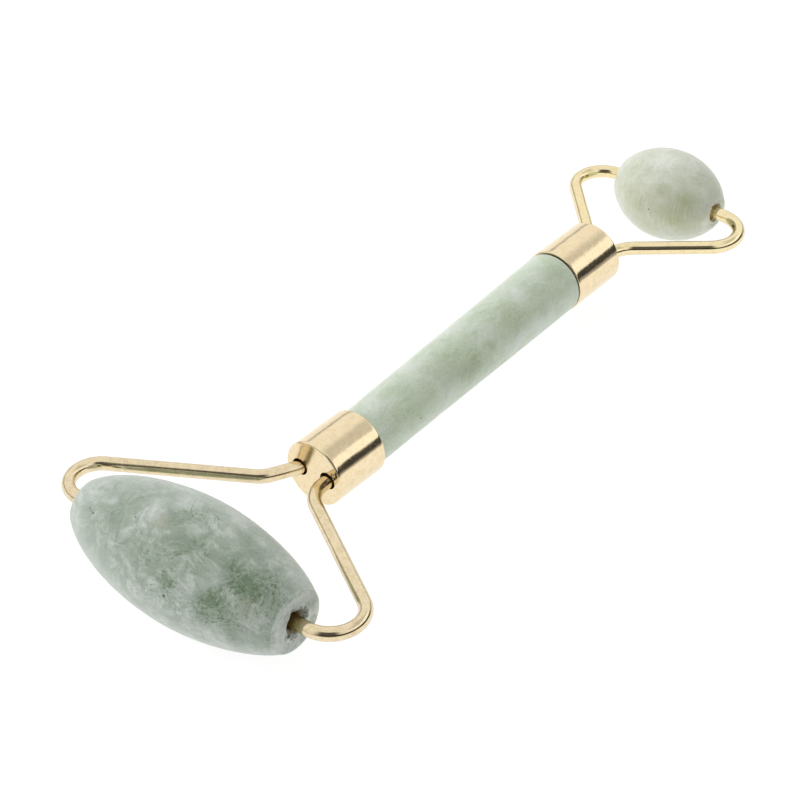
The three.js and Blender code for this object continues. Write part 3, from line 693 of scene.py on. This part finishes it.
# ---------------------------------------------------------------------- wires
def bent_line(corners, radii, step):
    """Straight runs joined by round bends: points, and how sharply each one bends."""
    pts, tight = [], []

    def run(a, b):
        d = (b - a).length
        m = max(1, int(d / step))
        for i in range(m):
            pts.append(a.lerp(b, i / m))
            tight.append(0.0)

    frm = corners[0]
    for i in range(1, len(corners) - 1):
        b = corners[i]
        u = (corners[i - 1] - b).normalized()
        v = (corners[i + 1] - b).normalized()
        half = u.angle(v) / 2
        r = radii[i - 1]
        start, end = b + u * (r / math.tan(half)), b + v * (r / math.tan(half))
        c = b + (u + v).normalized() * (r / math.sin(half))
        run(frm, start)
        sweep = math.pi - 2 * half
        m = max(4, int(r * sweep / (step * 0.8)))
        for k in range(m):
            f = sweep * k / m
            w0, w1 = math.sin(sweep - f) / math.sin(sweep), math.sin(f) / math.sin(sweep)
            pts.append(c + (start - c) * w0 + (end - c) * w1)
            tight.append(min(1.0, 2.6 / r) if r > 2.6 else 0.4)
        frm = end
    run(frm, corners[-1])
    pts.append(corners[-1].copy())
    tight.append(0.0)
    return pts, tight


def wire(name, arms, axle, place, seed, material, dents=()):
    l, r = arms
    bottom = -U_STRAIGHT - LEG_X
    V = lambda x, y: Vector((x, y, 0.0))

    def bends(a, s):
        if "lean" in a:
            return [(V(s * a["elbow"][0], a["elbow"][1]), a["bend"]), (V(s * LEG_X, 0), a["lean"])]
        return [(V(s * LEG_X, a["h"]), a["bend"])]

    left, right = bends(l, -1), bends(r, 1)[::-1]
    pts, tight = bent_line(
        [V(-l["tip"], axle), V(-l["reach"], axle)] + [p for p, _ in left] + [V(-LEG_X, bottom), V(LEG_X, bottom)]
        + [p for p, _ in right] + [V(r["reach"], axle), V(r["tip"], axle)],
        [l["turn"]] + [q for _, q in left] + [LEG_X - 0.001, LEG_X - 0.001] + [q for _, q in right] + [r["turn"]], 0.30)
    n, sides = len(pts), 28
    # bends ovalise the bar a little: ease the amount along the length
    ease = np.convolve(np.array(tight), np.ones(9) / 9.0, mode="same")
    verts, faces, rings = [], [], []
    up = Vector((0, 0, 1))
    cut = 0.18
    for i, p in enumerate(pts):
        t = (pts[min(i + 1, n - 1)] - pts[max(i - 1, 0)]).normalized()
        side = up.cross(t).normalized()
        s = i * 0.30
        rad = WIRE_R + 0.006 * wob(s, seed, 0, 0.35, seed)
        if i == 0 or i == n - 1:
            rad -= cut
        off = Vector((0, 0, 0.018 * wob(s, 0, seed, 0.10, seed + 3)))
        if tight[i] < 0.01:
            off += side * (0.012 * wob(s, 2, seed, 0.13, seed + 7))
        for dx, dy, depth, width in dents:
            g = math.hypot(p.x - dx, p.y - dy)
            rad -= depth * math.exp(-(g / width) ** 2)
        ring = []
        for k in range(sides):
            a = TAU * k / sides
            oval = ease[i]
            rr_s, rr_u = rad * (1 - 0.035 * oval), rad * (1 + 0.012 * oval)
            ring.append(len(verts))
            verts.append(p + off + side * (rr_s * math.cos(a)) + up * (rr_u * math.sin(a)))
        rings.append(ring)
    # the last ring at each tip is the chamfer: pull it in by the cut
    for a_, b_ in zip(rings, rings[1:]):
        for k in range(sides):
            j = (k + 1) % sides
            faces.append((a_[k], a_[j], b_[j], b_[k]))
    for ring, rev in ((rings[0], True), (rings[-1], False)):
        c = sum((verts[i] for i in ring), Vector()) / sides
        ci = len(verts)
        verts.append(c)
        for k in range(sides):
            j = (k + 1) % sides
            faces.append((ring[j], ring[k], ci) if rev else (ring[k], ring[j], ci))
    obj = make_piece(name, verts, faces, place, material)
    fix_normals(obj)
    return obj


# -------------------------------------------------------------------- rollers
def roller(name, k, place, material, seed, chips=()):
    def radius(x):
        return k["b"] * max(0.0, 1 - abs(x / k["a"]) ** k["p"]) ** (1 / k["q"])

    L, R, e = -k["left"], k["right"], k["edge"]
    rr, rl = radius(R), radius(L)
    prof = []
    # bore from the -X mouth to the +X mouth, flared at both
    prof += [(k["mouth"] + 0.10, L), (k["mouth"] - 0.06, L + 0.08)]
    prof += [(k["mouth"] - (k["mouth"] - k["bore"]) * t, L + 0.08 + (k["sink"] - 0.08) * t) for t in (0.3, 0.6, 0.85)]
    m = 30
    prof += [(k["bore"], L + k["sink"] + (R - L - 2 * k["sink"]) * i / m) for i in range(m + 1)]
    prof += [(k["mouth"] - (k["mouth"] - k["bore"]) * t, R - 0.08 - (k["sink"] - 0.08) * t) for t in (0.85, 0.6, 0.3)]
    prof += [(k["mouth"] - 0.06, R - 0.08), (k["mouth"] + 0.10, R)]
    # +X face: slightly dished, then the softened rim
    face = max(3, int((rr - e - k["mouth"]) / 0.35))
    for i in range(1, face + 1):
        t = i / (face + 1)
        q = k["mouth"] + 0.10 + (rr - e - k["mouth"] - 0.10) * t
        prof.append((q, R - 0.10 * math.sin(math.pi * t) * (1 if R == k["right"] else 0)))
    x0, x1 = R - 0.62 * e, L + 0.62 * e
    rx0, rx1 = radius(x0), radius(x1)
    for i in range(7):
        t = math.radians(90 * i / 6)
        prof.append((rr - e + (rx0 - rr + e) * math.sin(t), x0 + (R - x0) * math.cos(t)))
    n = 132
    for i in range(1, n):
        t = math.pi * i / n
        x = (x0 + x1) / 2 + (x0 - x1) / 2 * math.cos(t)
        prof.append((radius(x), x))
    for i in range(6, -1, -1):
        t = math.radians(90 * i / 6)
        prof.append((rl - e + (rx1 - rl + e) * math.sin(t), x1 + (L - x1) * math.cos(t)))
    face = max(3, int((rl - e - k["mouth"]) / 0.35))
    for i in range(face, 0, -1):
        t = i / (face + 1)
        q = k["mouth"] + 0.10 + (rl - e - k["mouth"] - 0.10) * t
        prof.append((q, L + 0.08 * math.sin(math.pi * t)))

    def ground(r, x, a):
        if r < k["bore"] + 0.01:
            return 0.0, 0.0
        dr = dh = 0.0
        y, z = r * math.cos(a), r * math.sin(a)
        if r > k["mouth"] + 0.4:
            f = min(1.0, (r - k["mouth"] - 0.4) / 1.0)
            v = -0.035 + wob(x, y, z, 0.12, seed) * 0.035 + wob(x, y, z, 0.45, seed + 5) * 0.012
            dr += min(0.0, v) * f
            if r < 0.62 * k["b"] and (x > R - 1.0 or x < L + 1.0):
                dh += -0.04 * abs(wob(y, z, x, 0.5, seed + 2)) * (1 if x > 0 else -1)
        for cx, cy, cz, cr, depth in chips:
            g = math.sqrt((x - cx) ** 2 + (y - cy) ** 2 + (z - cz) ** 2)
            if g < cr * 1.4:
                h = depth * math.exp(-(g / cr) ** 2 * 2.2) * (0.7 + 0.6 * abs(wob(x, y, z, 2.2, seed)))
                dh += -h * (1 if cx > 0 else -1)
                dr += h * 0.35
        return dr, dh

    verts, faces, _ = lathe(prof, 160, axis="X", closed=True, shift=ground)
    obj = make_piece(name, verts, faces, place, material)
    fix_normals(obj)
    return obj


pieces = []


def done(obj, body, node):
    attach(obj, body)
    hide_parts(node)
    pieces.append(obj)


done(rod(), "handle", "handle_stone")
done(cap("large_cap_shell", CAP_LENGTH_LARGE, AT_LARGE, 1.7, marks=[(-3.97, 1.75, 0.26, 0.20)], hole_shift=(0.02, 0.08)),
     "handle", "large_cap")
done(cap("small_cap_shell", CAP_LENGTH_SMALL, AT_SMALL, 6.2), "handle", "small_cap")
done(wire("large_wire_frame", [LARGE_ARMS[1], LARGE_ARMS[0]], LARGE_AXLE, AT_LARGE, 2.4, GOLD_WIRE_LARGE),
     "handle", "large_frame_wire")
done(wire("small_wire_frame", SMALL_ARMS, SMALL_AXLE, AT_SMALL, 9.1, GOLD_WIRE_SMALL,
          dents=[(5.6, 4.6, 0.10, 0.45), (6.5, 5.1, 0.05, 0.5)]), "handle", "small_frame_wire")
done(roller("large_jade_roller", LARGE_ROLLER, AT_LARGE_ROLLER, JADE_BIG, 5.5,
            chips=[(20.65, -0.6, 2.35, 0.65, 0.55), (20.65, -2.1, -1.3, 0.60, 0.45), (20.65, -1.2, 2.1, 0.35, 0.3)]),
     "large_roller", "large_roller_stone")
done(roller("small_jade_roller", SMALL_ROLLER, AT_SMALL_ROLLER, JADE_SMALL, 12.5,
            chips=[(10.01, -0.9, 1.7, 0.5, 0.35)]),
     "small_roller", "small_roller_stone")

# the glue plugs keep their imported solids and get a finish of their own
for node in ("large_cap_adhesive", "small_cap_adhesive"):
    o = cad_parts[node]
    o.data.materials.clear()
    o.data.materials.append(GLUE)

# ---------------------------------------------------------------------- stage
fm, fn, fb = new_material("studio_floor")
fat = fn.local_mm()
fcol = fn.ramp(fn.noise(fat, 0.02, 3, 0.5), [(0.3, (0.93, 0.93, 0.93)), (0.7, (0.95, 0.95, 0.95))])
fn.put(fb.inputs["Base Color"], fn.mix(0.74, fcol, (0.0, 0.0, 0.0)))
fb.inputs["Roughness"].default_value = 0.9
fb.inputs["Specular IOR Level"].default_value = 0.0
fb.inputs["Emission Color"].default_value = (1.0, 1.0, 1.0, 1.0)
# the white board is lit up to just outside the picture on the right and in front, and falls off to grey there
fsep = fn.add("ShaderNodeSeparateXYZ")
fn.put(fsep.inputs[0], fat)
fu = fn.math("ADD", fn.math("MULTIPLY", fsep.outputs[0], 0.7693), fn.math("MULTIPLY", fsep.outputs[1], 0.6389))
fv = fn.math("SUBTRACT", fn.math("MULTIPLY", fsep.outputs[1], 0.7693), fn.math("MULTIPLY", fsep.outputs[0], 0.6389))
fd = fn.math("MAXIMUM", fn.step(fu, 88.0, 135.0), fn.step(fn.math("MULTIPLY", fv, -1.0), 98.0, 150.0))
fn.put(fb.inputs["Emission Strength"], fn.math("MULTIPLY", 0.86, fn.math("SUBTRACT", 1.0, fn.math("MULTIPLY", fd, 0.86))))
fmesh = bpy.data.meshes.new("studio_floor")
fmesh.from_pydata([(-3, -3, 0), (3, -3, 0), (3, 3, 0), (-3, 3, 0)], [], [(0, 1, 2, 3)])
fmesh.materials.append(fm)
floor = bpy.data.objects.new("studio_floor", fmesh)
bpy.context.scene.collection.objects.link(floor)

# ---------------------------------------------------------------------- world
world = bpy.data.worlds.new("studio")
bpy.context.scene.world = world
world.use_nodes = True
w = Nodes(world.node_tree)
wout = w.add("ShaderNodeOutputWorld")
bg = w.add("ShaderNodeBackground")
w.t.links.new(bg.outputs[0], wout.inputs["Surface"])
tc = w.add("ShaderNodeTexCoord")
sep = w.add("ShaderNodeSeparateXYZ")
w.put(sep.inputs[0], w.vec("NORMALIZE", tc.outputs["Generated"]))
wx, wy, wz = sep.outputs
el = w.math("MULTIPLY", w.math("ARCSINE", wz), 180 / math.pi)
az = w.math("MULTIPLY", w.math("ARCTAN2", wx, w.math("MULTIPLY", wy, -1.0)), 180 / math.pi)


def around(centre):
    """Degrees of azimuth away from a heading, without a sign."""
    d = w.math("ABSOLUTE", w.math("SUBTRACT", az, centre))
    return w.math("MINIMUM", d, w.math("SUBTRACT", 360.0, d))


def window(v, a, b, soft):
    return w.math("MULTIPLY", w.step(v, a - soft, a + soft), w.step(v, b - soft, b + soft, 1.0, 0.0))


level = w.step(el, 20.0, 75.0, 1.05, 0.98)
# bright strip and the dimmer panel above it, to the right
right = w.step(around(134.0), 26.0, 44.0, 1.0, 0.0)
strip = w.math("MULTIPLY", window(el, 18.0, 38.5, 1.0), right)
panel = w.math("MULTIPLY", window(el, 39.0, 60.0, 1.5), w.step(around(145.0), 26.0, 55.0, 1.0, 0.0))
level = w.math("ADD", level, w.math("MULTIPLY", strip, 0.20))
level = w.math("SUBTRACT", level, w.math("MULTIPLY", panel, 0.30))
# the dark open front where the camera stands
front = w.math("MULTIPLY", w.step(around(34.0), 16.0, 44.0, 1.0, 0.0), window(el, -4.0, 62.0, 6.0))
level = w.math("MULTIPLY", level, w.math("SUBTRACT", 1.0, w.math("MULTIPLY", front, 0.90)))
# the dark gap above the table's edge, deepest to the right and the front
gap_r = w.math("MULTIPLY", window(el, -60.0, 17.2, 1.0), w.step(around(95.0), 55.0, 100.0, 0.95, 0.0))
gap_l = w.math("MULTIPLY", window(el, -60.0, 13.0, 4.0), w.step(around(-70.0), 30.0, 60.0, 0.55, 0.0))
gap_b = w.math("MULTIPLY", window(el, 11.5, 19.0, 2.0), w.step(around(-133.0), 12.0, 30.0, 0.50, 0.0))
gap_c = w.math("MULTIPLY", window(el, -60.0, 9.0, 3.0), w.step(around(-168.0), 8.0, 22.0, 0.40, 0.0))
for g in (gap_r, gap_l, gap_b, gap_c):
    level = w.math("MULTIPLY", level, w.math("SUBTRACT", 1.0, g))
level = w.math("MAXIMUM", level, 0.02)
bg.inputs["Color"].default_value = (1.0, 0.995, 0.985, 1.0)
w.put(bg.inputs["Strength"], level)

# soft key from above and behind-left, for shape only
key = bpy.data.lights.new("soft_key", "SUN")
key.energy = 0.95
key.angle = math.radians(60)
key.color = (1.0, 1.0, 1.0)
ko = bpy.data.objects.new("soft_key", key)
bpy.context.scene.collection.objects.link(ko)
ko.rotation_euler = Vector((-0.70, -0.56, 0.44)).normalized().to_track_quat("Z", "Y").to_euler()
ko.visible_glossy = False

# --------------------------------------------------------------------- camera
cam = bpy.data.cameras.new("camera")
cam.sensor_width = 36.0
cam.lens = 112.46
cam.clip_start = 0.01
cam.clip_end = 20.0
co = bpy.data.objects.new("camera", cam)
bpy.context.scene.collection.objects.link(co)
cm = Matrix(((0.7693228, -0.3837907, 0.510732, 0.205384),
             (0.6384934, 0.4889894, -0.5943194, -0.252851),
             (-0.0216483, 0.7833224, 0.6212385, 0.260531),
             (0, 0, 0, 1)))
co.matrix_world = cm
bpy.context.scene.camera = co
bpy.context.scene.view_settings.view_transform = "Standard"
bpy.context.scene.view_settings.look = "None"

# ---------------------------------------------------------------------- finish
bpy.context.view_layer.update()
